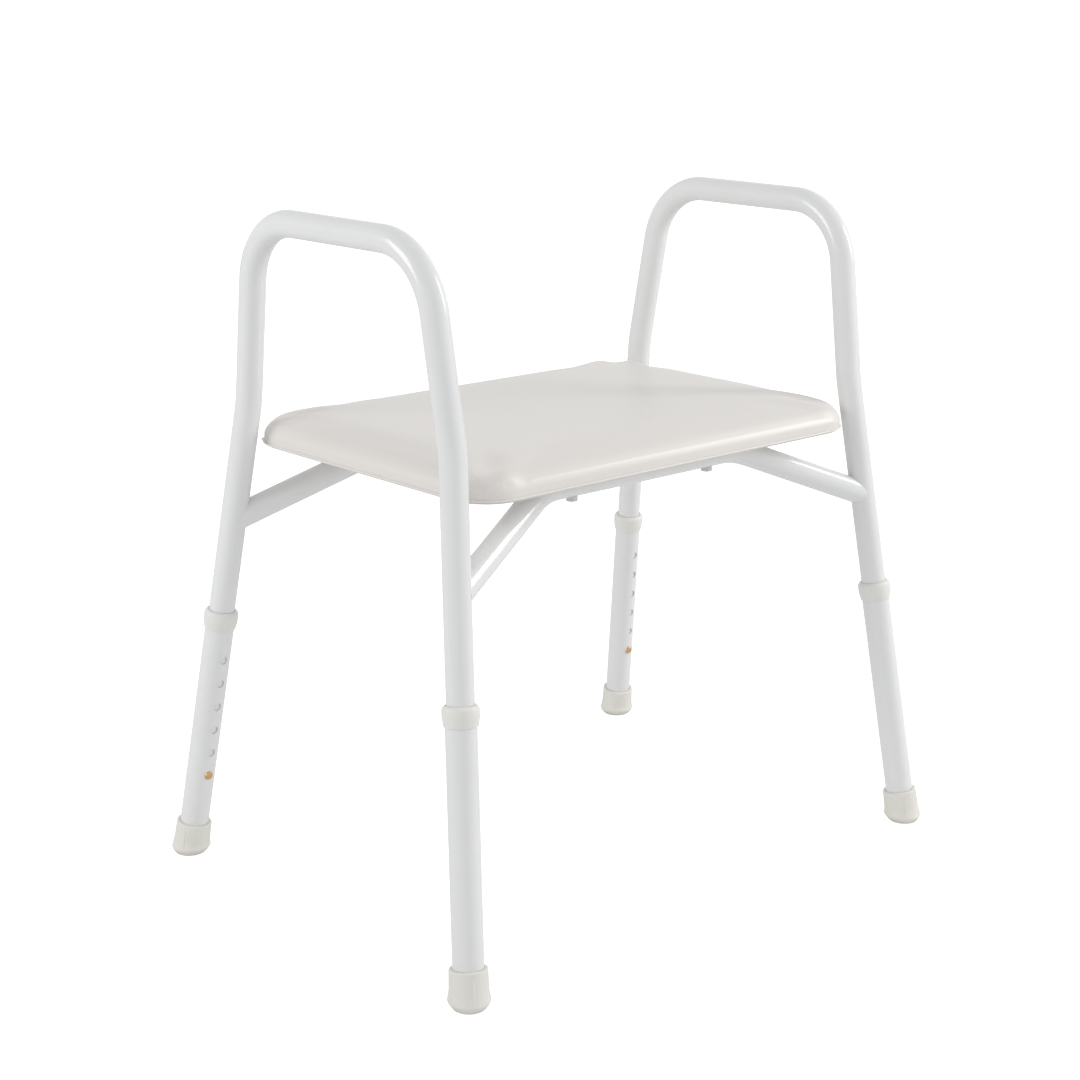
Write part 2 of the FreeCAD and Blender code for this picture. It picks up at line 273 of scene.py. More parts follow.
# the last argument scales the vinyl's colour to make lit and shaded copies of one material: above 1
# paints a highlight, below 1 paints shade
def makeVinyl(name, look, paintedLightScale=1.0):
    material, tree, shader = newMaterial(name, Specular_IOR_Level=0.5)
    skin = useGroup(tree, skinGroup, **{"Ripple Scale": 300, "Cloud Scale": 7})
    low = tuple(c * paintedLightScale for c in look["colourLow"])
    high = tuple(c * paintedLightScale for c in look["colour"])
    tree.links.new(mixColours(tree, skin["Cloud"], low, high), shader.inputs["Base Color"])
    tree.links.new(
        setRange(tree, skin["Cloud"], *look["roughness"]), shader.inputs["Roughness"]
    )
    grain = useGroup(tree, grainGroup, **{"Grain Scale": look["grainScale"]})
    addBump(tree, shader, grain["Height"], look["grainDepth"])
    return material


mouldedPlastic = {
    "colour": (0.79, 0.785, 0.755),
    "colourLow": (0.75, 0.745, 0.715),
    "roughness": (0.34, 0.46),
}


def makePlastic(name, look):
    material, tree, shader = newMaterial(
        name, Specular_IOR_Level=0.45, Subsurface_Weight=0.08, Subsurface_Scale=0.002
    )
    skin = useGroup(tree, skinGroup, **{"Ripple Scale": 1400, "Cloud Scale": 60})
    tree.links.new(
        mixColours(tree, skin["Cloud"], look["colourLow"], look["colour"]),
        shader.inputs["Base Color"],
    )
    tree.links.new(
        setRange(tree, skin["Cloud"], *look["roughness"]), shader.inputs["Roughness"]
    )
    addBump(tree, shader, skin["Ripple"], 0.015 * mm)
    return material


footRubber = {
    "colour": (0.79, 0.775, 0.725),
    "colourLow": (0.74, 0.725, 0.675),
    "roughness": (0.5, 0.62),
    "dust": (0.36, 0.34, 0.31),
}


def makeRubber(name, look):
    material, tree, shader = newMaterial(name, Specular_IOR_Level=0.4)
    skin = useGroup(tree, skinGroup, **{"Ripple Scale": 1100, "Cloud Scale": 45})
    colour = mixColours(tree, skin["Cloud"], look["colourLow"], look["colour"])
    dust = useGroup(tree, dustGroup, **{"Reach": 0.008, "Speck Scale": 700, "Amount": 0.5})
    colour = blendColour(tree, dust["Mask"], colour, look["dust"])
    tree.links.new(colour, shader.inputs["Base Color"])
    tree.links.new(
        setRange(tree, skin["Cloud"], *look["roughness"]), shader.inputs["Roughness"]
    )
    addBump(tree, shader, skin["Ripple"], 0.04 * mm)
    return material


def makeMetal(name, bright, dull, roughness, scale=90, scratch=(1, 1, 1), bump=0.02 * mm):
    material, tree, shader = newMaterial(name, Metallic=1.0)
    point = objectPoint(tree)
    patches = noiseAt(tree, point, scale, 4.0, 0.6)
    lines = noiseAt(tree, point, 900.0, 3.0, 0.6, stretch=scratch)
    tree.links.new(mixColours(tree, patches, dull, bright), shader.inputs["Base Color"])
    tree.links.new(setRange(tree, lines, *roughness), shader.inputs["Roughness"])
    addBump(tree, shader, lines, bump)
    return material


def makePlywood(name):
    # long grain along the seat, with darker growth lines
    material, tree, shader = newMaterial(name, Specular_IOR_Level=0.3)
    point = objectPoint(tree)
    grain = noiseAt(tree, point, 40.0, 6.0, 0.65, stretch=(0.6, 9.0, 20.0))
    tree.links.new(
        mixColours(tree, grain, (0.36, 0.23, 0.12), (0.68, 0.5, 0.31)),
        shader.inputs["Base Color"],
    )
    tree.links.new(setRange(tree, grain, 0.6, 0.8), shader.inputs["Roughness"])
    addBump(tree, shader, grain, 0.1 * mm)
    return material


coatMaterial = makePowderCoat("whitePowderCoat", powderCoat)
legCoatMaterial = makePowderCoat("legPowderCoat", powderCoat, dusty=True)
vinylMaterial = makeVinyl("seatVinyl", seatVinyl)
# the welt is the seat vinyl painted 6% lighter: a painted highlight along the seam line
weltPaintedHighlightMaterial = makeVinyl("weltVinyl", seatVinyl, paintedLightScale=1.06)
# the base strip is the seat vinyl painted 3% darker: painted shade on its inward-leaning underside
basePaintedShadeMaterial = makeVinyl("baseVinyl", seatVinyl, paintedLightScale=0.97)
collarMaterial = makePlastic("collarPlastic", mouldedPlastic)
rubberMaterial = makeRubber("footRubber", footRubber)
brassMaterial = makeMetal(
    "buttonBrass", (0.78, 0.52, 0.25), (0.6, 0.36, 0.15), (0.22, 0.38), scale=400
)
zincMaterial = makeMetal("zincSteel", (0.66, 0.67, 0.69), (0.5, 0.51, 0.53), (0.28, 0.44))
springMaterial = makeMetal(
    "springSteel", (0.5, 0.5, 0.52), (0.36, 0.37, 0.4), (0.25, 0.4), scratch=(1, 1, 0.1)
)
plywoodMaterial = makePlywood("boardPlywood")


def paint(obj, material):
    obj.data.materials.clear()
    obj.data.materials.append(material)


for name in ("left_hoop", "right_hoop", "front_crossbar", "rear_crossbar"):
    paint(nodes[name], coatMaterial)
for corner in corners:
    paint(nodes[corner + "_lower_tube"], legCoatMaterial)
    paint(nodes[corner + "_foot_washer"], zincMaterial)
    paint(nodes[corner + "_snap_spring"], springMaterial)
for name in ("seat_bolts", "saddle_washers", "tee_nuts"):
    paint(nodes[name], zincMaterial)
paint(nodes["seat_board"], plywoodMaterial)
print("materials made")


def newPiece(name, bm, material, smooth=True):
    bmesh.ops.recalc_face_normals(bm, faces=bm.faces)
    mesh = bpy.data.meshes.new(name)
    bm.to_mesh(mesh)
    bm.free()
    if smooth:
        mesh.shade_smooth()
    obj = bpy.data.objects.new(name, mesh)
    bpy.context.scene.collection.objects.link(obj)
    paint(obj, material)
    return obj


def softSection(points, steps=5, closed=True):
    # points are (radius, height, rounding): each corner becomes a short curve
    made = []
    count = len(points)
    for i, (r, h, soft) in enumerate(points):
        here = Vector((r, h))
        if soft <= 0 or (not closed and i in (0, count - 1)):
            made.append(here)
            continue
        before = Vector(points[i - 1][:2]) - here
        after = Vector(points[(i + 1) % count][:2]) - here
        a = here + before.normalized() * min(soft, before.length * 0.48)
        b = here + after.normalized() * min(soft, after.length * 0.48)
        for k in range(steps + 1):
            t = k / steps
            made.append(a * (1 - t) ** 2 + here * 2 * t * (1 - t) + b * t ** 2)
    return made


def fillSection(points, gap, closed=True):
    # no two neighbours are further apart than gap
    made = []
    pairs = list(zip(points, points[1:] + points[:1]))
    for a, b in pairs if closed else pairs[:-1]:
        parts = max(1, math.ceil((b - a).length / gap))
        made += [a.lerp(b, k / parts) for k in range(parts)]
    return made if closed else made + [points[-1]]


def turnedMesh(section, segments, place, shape=None, closed=True):
    # place gives a ring's middle and its two directions at a height
    bm = bmesh.new()
    rings = []
    for r, h in section:
        middle, across, sideways = place(h)
        ring = []
        for i in range(segments):
            turn = 2 * math.pi * i / segments
            radius = shape(r, h, turn) if shape else r
            out = across * math.cos(turn) + sideways * math.sin(turn)
            ring.append(bm.verts.new(middle + out * radius))
        rings.append(ring)
    pairs = list(zip(rings, rings[1:] + rings[:1]))
    for low, high in pairs if closed else pairs[:-1]:
        for i in range(segments):
            j = (i + 1) % segments
            bm.faces.new((low[i], low[j], high[j], high[i]))
    if not closed:
        bm.faces.new(rings[0])
        bm.faces.new(rings[-1])
    return bm


def easeStep(value, low, high):
    t = min(1, max(0, (value - low) / (high - low)))
    return t * t * (3 - 2 * t)


# Seat cushion: a skin on the board's edge and a padded block on top of it.

seat = {
    "startDrop": 1.6 * mm,      # how much lower than its finished top it starts
    "startInset": 0.5 * mm,
    "wall": 0.9 * mm,           # skin beside the board
    "topEdge": 12.5 * mm,
    "spacing": 5.2 * mm,
    "pressure": 4.0,
    "cap": 5 * mm,
    "frames": 20,
    "fill": 0.85,
    "crown": 2.2 * mm,
    "pucker": 0.32 * mm,        # small creases that the cover has at its corners
    "puckerPitch": 7.5 * mm,
}

coverLow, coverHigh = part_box("seat_cover")
baseLow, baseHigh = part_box("seat_base_cover")
weltLow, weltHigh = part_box("seat_welt")
seamZ = baseHigh.z
seatHalf = Vector(((coverHigh.x - coverLow.x) / 2, (coverHigh.y - coverLow.y) / 2))


def seatCornerRadius():
    # read from the cover: the y at which its side wall starts to turn
    side = [
        abs(v.co.y)
        for v in nodes["seat_cover"].data.vertices
        if abs(v.co.x) > seatHalf.x - 0.02 * mm and v.co.z < seamZ + 0.1 * mm
    ]
    return seatHalf.y - max(side)


cornerRadius = seatCornerRadius()
print("seat corner radius", round(cornerRadius, 4))


def seatOutline(inset, count):
    # evenly spaced points round the seat, each with the direction that faces out
    radius = max(cornerRadius - inset, 1 * mm)
    hx, hy = seatHalf.x - inset - radius, seatHalf.y - inset - radius
    arc = radius * math.pi / 2
    runs = [("line", (hx + radius, -hy), (0, 1), 2 * hy), ("arc", (hx, hy), 0, arc)]
    runs += [("line", (hx, hy + radius), (-1, 0), 2 * hx), ("arc", (-hx, hy), 90, arc)]
    runs += [("line", (-hx - radius, hy), (0, -1), 2 * hy), ("arc", (-hx, -hy), 180, arc)]
    runs += [("line", (-hx, -hy - radius), (1, 0), 2 * hx), ("arc", (hx, -hy), 270, arc)]
    total = sum(run[3] for run in runs)
    made = []
    for i in range(count):
        s = total * i / count
        for kind, start, way, length in runs:
            if s <= length:
                break
            s -= length
        if kind == "line":
            point = Vector(start) + Vector(way) * s
            out = Vector((way[1], -way[0]))
        else:
            turn = math.radians(way) + s / radius
            out = Vector((math.cos(turn), math.sin(turn)))
            point = Vector(start) + out * radius
        made.append((point, out))
    return made


def fillOutline(bm, ring, z, spacing):
    # even triangles across a flat outline
    edge = [Vector((v.co.x, v.co.y)) for v in ring]
    rise = spacing * math.sqrt(3) / 2
    nearest = 0.62 * spacing  # from the outline to the first point inside it
    rows = int(seatHalf.y / rise) + 1
    half = int(seatHalf.x / spacing) + 1
    points = list(edge)
    radius = cornerRadius - (seatHalf.x - max(p.x for p in edge))
    hx = max(p.x for p in edge) - radius
    hy = max(p.y for p in edge) - radius
    for row in range(-rows, rows + 1):
        for k in range(-half, half + 1):
            x = (k + 0.5 * (row % 2)) * spacing
            y = row * rise
            away = Vector((max(0, abs(x) - hx), max(0, abs(y) - hy))).length
            if away < radius - nearest:
                points.append(Vector((x, y)))
    count = len(edge)
    loop = [(i, (i + 1) % count) for i in range(count)]
    flat = geometry.delaunay_2d_cdt(points, loop, [], 1, 1e-7)
    made = []
    for point, origin in zip(flat[0], flat[3]):
        mine = [i for i in origin if i < count]
        made.append(ring[mine[0]] if mine else bm.verts.new((point.x, point.y, z)))
    for face in flat[2]:
        bm.faces.new([made[i] for i in face])


def makeCushionForm():
    # a skin down the board's edge, then upright sides, a rounded edge and a flat top
    topZ = coverHigh.z - seat["startDrop"]
    edge, inset = seat["topEdge"], seat["startInset"]
    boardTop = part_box("seat_board")[1].z + 0.05 * mm
    skirt = seamZ - 2 * mm
    levels = [(14 * mm, boardTop), (seat["wall"], boardTop), (seat["wall"], skirt)]
    levels += [(0.5 * mm, skirt), (0.1 * mm, seamZ), (0.0, seamZ + 1.5 * mm)]
    levels += [(0.1 * mm, seamZ + 4 * mm)]
    levels += [(inset * 0.7, seamZ + 8.5 * mm), (inset, topZ - edge)]
    for k in range(1, 6):
        turn = math.radians(18 * k)
        levels.append((inset + edge * (1 - math.cos(turn)), topZ - edge * (1 - math.sin(turn))))
    around = 2 * math.pi * cornerRadius + 4 * (seatHalf.x + seatHalf.y - 2 * cornerRadius)
    count = 4 * round(around / seat["spacing"] / 4)
    bm = bmesh.new()
    rings = []
    for away, z in levels:
        rings.append([bm.verts.new((p.x, p.y, z)) for p, out in seatOutline(away, count)])
    for low, high in zip(rings, rings[1:]):
        for i in range(count):
            j = (i + 1) % count
            bm.faces.new((low[i], low[j], high[j], high[i]))
    fillOutline(bm, rings[0], boardTop, seat["spacing"])
    fillOutline(bm, rings[-1], topZ, seat["spacing"])
    return newPiece("seatCushion", bm, vinylMaterial)


def isInside(point):
    # the part of the form that lies on the board
    reach = max(abs(point.x) - seatHalf.x + cornerRadius, 0), max(
        abs(point.y) - seatHalf.y + cornerRadius, 0
    )
    return point.z < seamZ + 12 * mm and Vector(reach).length < cornerRadius - 0.7 * mm


def inflate(obj):
    # the cover is held along its seam and underneath, and the air in it pushes it out
    group = obj.vertex_groups.new(name="held")
    for vertex in obj.data.vertices:
        held = 1 - easeStep(vertex.co.z, seamZ + 9 * mm, seamZ + 16 * mm)
        if isInside(vertex.co):
            held = 1
        if held > 0:
            group.add([vertex.index], held, "REPLACE")
    rest = [v.co.copy() for v in obj.data.vertices]
    cloth = obj.modifiers.new("cloth", "CLOTH")
    settings = cloth.settings
    settings.quality = 6
    settings.mass = 0.3
    settings.tension_stiffness = 18
    settings.compression_stiffness = 18
    settings.shear_stiffness = 8
    settings.bending_stiffness = 2
    settings.use_pressure = True
    settings.uniform_pressure_force = seat["pressure"]
    settings.effector_weights.gravity = 0
    settings.vertex_group_mass = "held"
    cloth.collision_settings.use_self_collision = False
    cloth.point_cache.frame_start = 1
    cloth.point_cache.frame_end = seat["frames"]
    scene = bpy.context.scene
    for number in range(1, seat["frames"] + 1):
        scene.frame_set(number)
    graph = bpy.context.evaluated_depsgraph_get()
    blown = [v.co.copy() for v in obj.evaluated_get(graph).data.vertices]
    obj.modifiers.clear()
    scene.frame_set(1)
    moved = 0
    for vertex, start, end in zip(obj.data.vertices, rest, blown):
        shift = end - start
        if shift.length > 1e-7:
            far = seat["cap"] * math.tanh(shift.length / seat["cap"])
            moved = max(moved, far)
            vertex.co = start + shift.normalized() * far
    print("cushion filled, largest move", round(moved * 1000, 2), "mm")


def cornerTurn(point):
    # distance round a corner of the seat, and 0 to 1 for how near its middle it is
    centre = Vector((
        math.copysign(seatHalf.x - cornerRadius, point.x),
        math.copysign(seatHalf.y - cornerRadius, point.y),
    ))
    away = Vector((abs(point.x) - abs(centre.x), abs(point.y) - abs(centre.y)))
    if min(away) <= 0:
        return 0, 0
    turn = math.atan2(away.y, away.x)
    return turn * cornerRadius, math.sin(2 * turn) ** 0.6


def settleCushion(obj):
    # relaxes what the simulation left uneven, then creases the corners a little
    bm = bmesh.new()
    bm.from_mesh(obj.data)
    loose = [v for v in bm.verts if v.co.z > seamZ + 13 * mm]
    for _ in range(4):
        bmesh.ops.smooth_vert(
            bm, verts=loose, factor=0.5, use_axis_x=True, use_axis_y=True, use_axis_z=True
        )
    bmesh.ops.subdivide_edges(bm, edges=bm.edges, cuts=1, use_grid_fill=True, smooth=0)
    bm.normal_update()
    moves = []
    for vertex in bm.verts:
        along, near = cornerTurn(vertex.co)
        level = vertex.co.z - seamZ
        depth = easeStep(level, 2 * mm, 8 * mm) * (1 - easeStep(level, 19 * mm, 28 * mm))
        if near * depth <= 0 or isInside(vertex.co):
            continue
        sway = noise.noise(Vector((vertex.co.x * 60, vertex.co.y * 60, vertex.co.z * 25)))
        wave = math.cos(2 * math.pi * along / seat["puckerPitch"] + 2.4 * sway)
        wave = wave * (0.6 + 0.8 * sway)
        moves.append((vertex, vertex.normal * (seat["pucker"] * wave * near * depth)))
    for vertex, move in moves:
        vertex.co += move
    bm.to_mesh(obj.data)
    bm.free()


cushion = makeCushionForm()
inflate(cushion)
settleCushion(cushion)
cushion.data.shade_smooth()
finer = cushion.modifiers.new("finer", "SUBSURF")
finer.levels = finer.render_levels = 1
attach(cushion, "frame")
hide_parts("seat_cover", "seat_foam")
print("seat cushion made")


welt = {
    "standOut": 1.5 * mm,
    "thickness": 1.5 * mm,
    "places": 1500,
    "pressedEvery": 2.5,        # in places along the outline
    "nubAt": (-1, 1),
}


def sweepRound(outline, section, closed=True):
    # section gives a place's points, each as its distance out and its height
    bm = bmesh.new()
    rings = []
    for i, (point, out) in enumerate(outline):
        ring = []
        for across, up in section(i, point, out):
            ring.append(bm.verts.new((point.x + out.x * across, point.y + out.y * across, up)))
        rings.append(ring)
    count = len(rings)
    for i in range(count):
        a, b = rings[i], rings[(i + 1) % count]
        for k in range(len(a)):
            m = (k + 1) % len(a)
            if not closed and m == 0:
                continue
            bm.faces.new((a[k], a[m], b[m], b[k]))
    return bm


def makeWelt():
    outline = seatOutline(0, welt["places"])
    middle = (weltLow.z + weltHigh.z) / 2

    def section(i, point, out):
        sway = noise.noise(Vector((point.x * 30, point.y * 30, 3)))
        press = 0.5 + 0.5 * math.cos(2 * math.pi * i / welt["pressedEvery"])
        reach = welt["standOut"] * (1 + 0.16 * sway)
        half = welt["thickness"] / 2 * (1 - 0.1 * press)
        z = middle + 0.25 * mm * sway
        shape = [(-1.2 * mm, -half), (reach * 0.7, -half), (reach, -half * 0.45)]
        shape += [(reach, half * 0.45), (reach * 0.7, half), (-1.2 * mm, half)]
        return [(across, z + up) for across, up in shape]

    piece = newPiece("seatWelt", sweepRound(outline, section), weltPaintedHighlightMaterial)
    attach(piece, "frame")
    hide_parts("seat_welt")
    return piece


def makeNub():
    # the overlap where the two ends of the welt were sealed together
    sx, sy = welt["nubAt"]
    out = Vector((sx, sy, 0)).normalized()
    corner = Vector((sx * (seatHalf.x - cornerRadius), sy * (seatHalf.y - cornerRadius), 0))
    middle = corner + out * (cornerRadius + 1.2 * mm)
    middle.z = (weltLow.z + weltHigh.z) / 2
    side = Vector((-out.y, out.x, 0))
    bm = bmesh.new()
    rows = 14
    rings = []
    for i in range(rows + 1):
        t = i / rows * 2 - 1
        swell = math.sqrt(max(0, 1 - t * t))
        ring = []
        for k in range(12):
            turn = 2 * math.pi * k / 12
            across = out * (2.2 * mm * swell * math.cos(turn))
            up = Vector((0, 0, 1.5 * mm * swell * math.sin(turn)))
            ring.append(bm.verts.new(middle + side * (5 * mm * t) + across + up))
        rings.append(ring)
    for low, high in zip(rings, rings[1:]):
        for k in range(12):
            m = (k + 1) % 12
            bm.faces.new((low[k], low[m], high[m], high[k]))
    bmesh.ops.remove_doubles(bm, verts=bm.verts, dist=0.01 * mm)
    piece = newPiece("weltOverlap", bm, weltPaintedHighlightMaterial)
    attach(piece, "frame")
    return piece


base = {"taper": 2.4 * mm, "edge": 2.2 * mm, "grooveInset": 16 * mm, "grooveWidth": 1.2 * mm}


def makeBase():
    # the strip under the welt, which leans in, and the flat underside with its pressed line
    lowZ = baseLow.z
    groove, width = base["grooveInset"], base["grooveWidth"]
    levels = [(0.2 * mm, seamZ - 0.2 * mm), (0.5 * mm, seamZ - 1 * mm)]
    levels.append((base["taper"] * 0.75, lowZ + base["edge"]))
    for k in range(1, 6):
        turn = math.radians(18 * k)
        inset = base["taper"] * 0.75 + base["edge"] * (1 - math.cos(turn))
        levels.append((inset, lowZ + base["edge"] * (1 - math.sin(turn))))
    levels += [(groove - width, lowZ), (groove - width / 2, lowZ + 0.1 * mm)]
    levels += [(groove, lowZ + 0.5 * mm), (groove + width / 2, lowZ + 0.1 * mm)]
    levels.append((groove + width, lowZ))
    levels.append((groove + width + 10 * mm, lowZ))
    bm = bmesh.new()
    rings = []
    for inset, z in levels:
        rings.append([bm.verts.new((p.x, p.y, z)) for p, out in seatOutline(inset, 640)])
    for low, high in zip(rings, rings[1:]):
        for i in range(len(low)):
            j = (i + 1) % len(low)
            bm.faces.new((low[i], low[j], high[j], high[i]))
    bm.faces.new(rings[0])
    bm.faces.new(rings[-1])
    piece = newPiece("seatBase", bm, basePaintedShadeMaterial)
    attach(piece, "frame")
    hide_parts("seat_base_cover")
    return piece


makeWelt()
makeNub()
makeBase()
print("welt and base made")


# Weld beads: a lumpy line of metal round each end of a crossbar.

weld = {
    "bead": 2.6 * mm,
    "pitch": 3.0 * mm,
    "ripple": 0.17,
    "wander": 0.35 * mm,
    "roundOff": 0.012,          # softens the path where it turns at the bar's sides
    "flatten": 0.85,
    "spread": 1.15,
    "stations": 300,
    "around": 12,
}


def ringNormal(points, centre):
    total = Vector((0, 0, 0))
    arms = [p - centre for p in points]
    for a in arms:
        for b in arms[::3]:
            normal = a.cross(b)
            total += normal if normal.dot(total) >= 0 else -normal
    return total.normalized()


def findJoint(sx, sy):
    # where a crossbar's centre line meets its leg's, the bar's direction, and a radius
    leg = legs[("front_" if sy < 0 else "rear_") + ("left" if sx < 0 else "right")]
    bar = nodes["front_crossbar" if sy < 0 else "rear_crossbar"]
    points = [v.co for v in bar.data.vertices if v.co.x * sx > 0]
    level = [p for p in points if abs(p.x) < 0.1]
    highY, lowY = max(p.y for p in level), min(p.y for p in level)
    highZ, lowZ = max(p.z for p in level), min(p.z for p in level)
    # Known fault: the only vertices here are those of the bolt holes, so this radius is
    # theirs and not the bar's, and the beads come out small and inside the leg.
    radius = (highY - lowY) / 2
    start = Vector((sx * 0.125, (highY + lowY) / 2, (highZ + lowZ) / 2))
    beads = (v.co for v in nodes["weld_beads"].data.vertices)
    bead = [p for p in beads if p.x * sx > 0 and p.y * sy > 0]
    aim = (sum(bead, Vector((0, 0, 0))) / len(bead) - start).normalized()

    def fromLeg(p):
        away = p - leg["foot"]
        return (away - leg["up"] * away.dot(leg["up"])).length

    clear = [p for p in points if fromLeg(p) > radius + 12 * mm]
    last = max((p - start).dot(aim) for p in clear)
    ring = [p for p in clear if (p - start).dot(aim) > last - 2.5 * mm]
    centre = sum(ring, Vector((0, 0, 0))) / len(ring)
    way = ringNormal(ring, centre)
    way = way if way.dot(aim) < 0 else -way  # from the leg out along the bar
    onBar, onLeg = geometry.intersect_line_line(
        centre, centre + way, leg["foot"], leg["foot"] + leg["up"]
    )
    apart = round((onBar - onLeg).length / mm, 2)
    print("weld joint at", round(onLeg.z, 4), "m, lines apart", apart, "mm")
    return onLeg, way, leg["up"], radius


def makeWelds():
    bm = bmesh.new()
    stations, around = weld["stations"], weld["around"]
    for sx, sy in ((-1, -1), (1, -1), (-1, 1), (1, 1)):
        joint, way, up, radius = findJoint(sx, sy)
        slant = way.dot(up)
        square = math.sqrt(1 - slant ** 2)
        rise = (up - way * slant).normalized()
        side = way.cross(rise)
        path = []
        for i in range(stations):
            turn = 2 * math.pi * i / stations
            lift = math.cos(turn)
            reach = math.sqrt(lift ** 2 + weld["roundOff"]) * radius * square
            reach /= 1 - math.copysign(slant, lift)
            spot = way * reach + (rise * lift + side * math.sin(turn)) * radius
            barOut = (rise * lift + side * math.sin(turn)).normalized()
            legOut = (spot - up * spot.dot(up)).normalized()
            path.append((joint + spot, (barOut + legOut).normalized()))
        rings = []
        walked = 0
        for i, (spot, out) in enumerate(path):
            before, after = path[i - 1][0], path[(i + 1) % stations][0]
            walked += (spot - before).length if i else 0
            ahead = (after - before).normalized()
            out = (out - ahead * out.dot(ahead)).normalized()
            across = ahead.cross(out)
            sway = noise.noise(spot * 130)
            lump = 0.5 + 0.5 * math.cos(2 * math.pi * walked / weld["pitch"] + 1.5 * sway)
            size = weld["bead"] * (1 + weld["ripple"] * (lump - 0.5) * 2 + 0.12 * sway)
            middle = spot + across * (weld["wander"] * noise.noise(spot * 210 + Vector((5, 0, 0))))
            ring = []
            for k in range(around):
                angle = 2 * math.pi * k / around
                arm = out * (weld["flatten"] * math.cos(angle))
                arm += across * (weld["spread"] * math.sin(angle))
                ring.append(bm.verts.new(middle + arm * size))
            rings.append(ring)
        for i in range(stations):
            low, high = rings[i], rings[(i + 1) % stations]
            for k in range(around):
                m = (k + 1) % around
                bm.faces.new((low[k], low[m], high[m], high[k]))
    piece = newPiece("weldBeads", bm, coatMaterial)
    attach(piece, "frame")
    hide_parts("weld_beads")


makeWelds()
print("weld beads made")


foot = {
    "topRadius": 17.6 * mm,
    "waistRadius": 18.1 * mm,
    "flareRadius": 19.7 * mm,
    "restRadius": 15.4 * mm,
    "flareAt": 6.6 * mm,
    "waistAt": 14.5 * mm,
    "rimRound": 1.6 * mm,
    "ribs": 60,
    "ribDepth": 0.3 * mm,
    "barDepth": 0.55 * mm,      # raised moulding bar on two sides
    "barTurn": {"front_left": 153, "front_right": 148, "rear_left": 118, "rear_right": 205},
}


def makeFoot(corner):
    leg = legs[corner]
    top = legReach(corner, "rubber_foot")[1]
    tubeLow, tubeTop, tubeBore, tubeRadius = legReach(corner, "lower_tube")
    floorUp = Vector((0, 0, 1))

    def place(height):
        # level at the floor, square to the leg further up
        lean = easeStep(height, 6 * mm, 15 * mm)
        up = floorUp.lerp(leg["up"], lean).normalized()
        across = (leg["inward"] - up * leg["inward"].dot(up)).normalized()
        level = leg["foot"] + leg["up"] * (height / leg["up"].z)
        middle = level.lerp(leg["foot"] + leg["up"] * height, lean)
        return middle, across, up.cross(across)

    section = [
        (4 * mm, 0.6 * mm, 0),
        (8.0 * mm, 0.6 * mm, 0.3 * mm),
        (8.6 * mm, 0.0 * mm, 0.3 * mm),
        (12.2 * mm, 0.0 * mm, 0.3 * mm),
        (12.6 * mm, 0.8 * mm, 0.3 * mm),
        (13.8 * mm, 0.8 * mm, 0.3 * mm),
        (14.4 * mm, 0.0 * mm, 0.3 * mm),
        (foot["restRadius"], 0.0 * mm, 0.5 * mm),
        (foot["flareRadius"] - 1.2 * mm, foot["flareAt"] - 2.6 * mm, 1.8 * mm),
        (foot["flareRadius"], foot["flareAt"], 0.9 * mm),
        (foot["waistRadius"], foot["waistAt"], 3.5 * mm),
        (foot["topRadius"], top - 0.1 * mm, foot["rimRound"]),
        (tubeRadius + 0.01 * mm, top - 0.1 * mm, 0),
        (tubeRadius + 0.02 * mm, tubeLow, 0),
        (4 * mm, tubeLow - 2.0 * mm, 0),
    ]
    points = fillSection(softSection(section), 1.4 * mm)
    start = math.radians(foot["barTurn"][corner])

    def shape(r, h, turn):
        if r < foot["topRadius"] - 1.2 * mm or h < 5 * mm:
            return r
        outside = easeStep(h, 9 * mm, 13 * mm) * (1 - easeStep(h, top - 3.5 * mm, top - 2 * mm))
        rib = 0.5 + 0.5 * math.cos(foot["ribs"] * turn)
        r -= foot["ribDepth"] * outside * (1 - rib)
        for offset in (0, math.pi):
            away = math.atan2(math.sin(turn - start - offset), math.cos(turn - start - offset))
            line = math.exp(-((away * r / (0.6 * mm)) ** 4))
            length = easeStep(h, 10 * mm, 11.5 * mm) * (1 - easeStep(h, 26.5 * mm, 28 * mm))
            r += foot["barDepth"] * line * length
        return r

    bm = turnedMesh(points, 320, place, shape)
    piece = newPiece(corner + "_ribbedFoot", bm, rubberMaterial)
    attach(piece, corner + "_leg")
    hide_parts(corner + "_rubber_foot")
    return piece


collar = {
    "bottomRadius": 15.7 * mm,
    "wideRadius": 16.9 * mm,
    "wideAt": 0.45,             # of its height
    "shoulderAt": 0.84,
    "mouthWall": 1.7 * mm,
}


